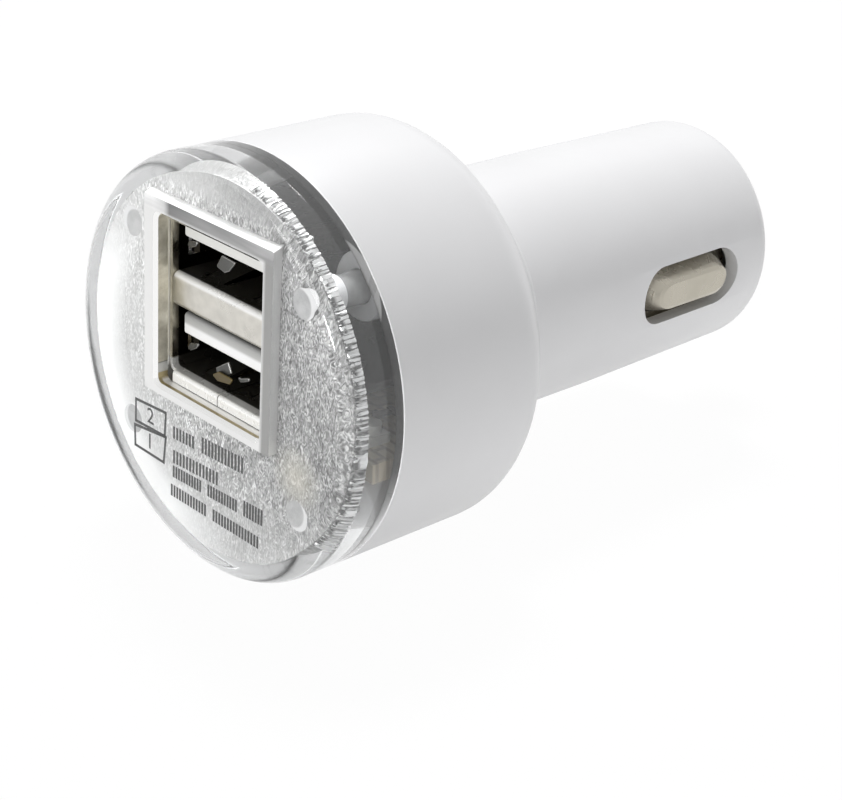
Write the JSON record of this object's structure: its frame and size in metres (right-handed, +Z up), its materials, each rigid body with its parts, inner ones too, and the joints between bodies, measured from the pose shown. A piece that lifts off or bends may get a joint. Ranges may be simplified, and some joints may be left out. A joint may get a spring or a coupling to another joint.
{
  "type": "car charger",
  "caption": "Plug for a vehicle power socket with a round head that holds two stacked charging ports under a clear cap, a sprung centre tip and sprung side contacts.",
  "frame": {"origin": "on the plug's axis, where the straight barrel leaves the collar of the head", "axes": "+Y along the plug towards the sprung tip, -Y the way the ports face, +Z up across the stacked ports"},
  "size_m": [0.0336, 0.0632, 0.0336],
  "materials": {
    "white_housing": "smooth satin gloss",
    "clear_plastic": "clear, polished",
    "textured_silver": "silver-grey with a fine sparkling texture",
    "nickel_plate": "satin nickel plate",
    "white_insulator": "matt moulded",
    "gold_contact": "gold plated",
    "board_laminate": "bare tan laminate",
    "black_epoxy": "matt moulded epoxy",
    "ferrite": "dark grey ferrite",
    "copper_wire": "enamelled copper",
    "capacitor_can": "bright can",
    "fuse_ceramic": "ceramic body with tinned ends",
    "tan_ceramic": "tan ceramic with tinned ends",
    "lamp_epoxy": "milky clear epoxy",
    "spring_steel": "bright drawn",
    "tip_nickel": "polished nickel plate"
  },
  "bodies": {
    "charger": {"housing": "white_housing", "clear_cap": "clear_plastic", "textured_plate": "textured_silver", "usb_shell": "nickel_plate", "usb_divider": "nickel_plate", "usb_insulator": "white_insulator", "usb_contact_lower_1": "gold_contact", "usb_contact_lower_2": "gold_contact", "usb_contact_lower_3": "gold_contact", "usb_contact_lower_4": "gold_contact", "usb_contact_upper_1": "gold_contact", "usb_contact_upper_2": "gold_contact", "usb_contact_upper_3": "gold_contact", "usb_contact_upper_4": "gold_contact", "circuit_board": "board_laminate", "converter_chip": "black_epoxy", "inductor_core": "ferrite", "inductor_winding": "copper_wire", "output_capacitor": "capacitor_can", "input_capacitor": "capacitor_can", "input_fuse": "fuse_ceramic", "rectifier_diode": "black_epoxy", "chip_resistors": "black_epoxy", "chip_capacitors": "tan_ceramic", "indicator_led": "lamp_epoxy", "tip_spring": "spring_steel", "spring_terminal": "nickel_plate", "side_leaf_right": "spring_steel", "side_leaf_left": "spring_steel"},
    "tip": {"center_tip": "tip_nickel"},
    "right_contact": {"side_contact_right": "nickel_plate"},
    "left_contact": {"side_contact_left": "nickel_plate"}
  },
  "joints": [
    {"name": "tip_press", "type": "slide", "parent": "charger", "child": "tip", "axis": [0, 1, 0], "range_m": [-0.0025, 0], "stiffness_N_per_m": 1500, "deforming": ["tip_spring"]},
    {"name": "right_contact_press", "type": "slide", "parent": "charger", "child": "right_contact", "axis": [-1, 0, 0], "range_m": [0, 0.0012], "stiffness_N_per_m": 1000, "deforming": ["side_leaf_right"]},
    {"name": "left_contact_press", "type": "slide", "parent": "charger", "child": "left_contact", "axis": [1, 0, 0], "range_m": [0, 0.0012], "stiffness_N_per_m": 1000, "deforming": ["side_leaf_left"]}
  ]
}
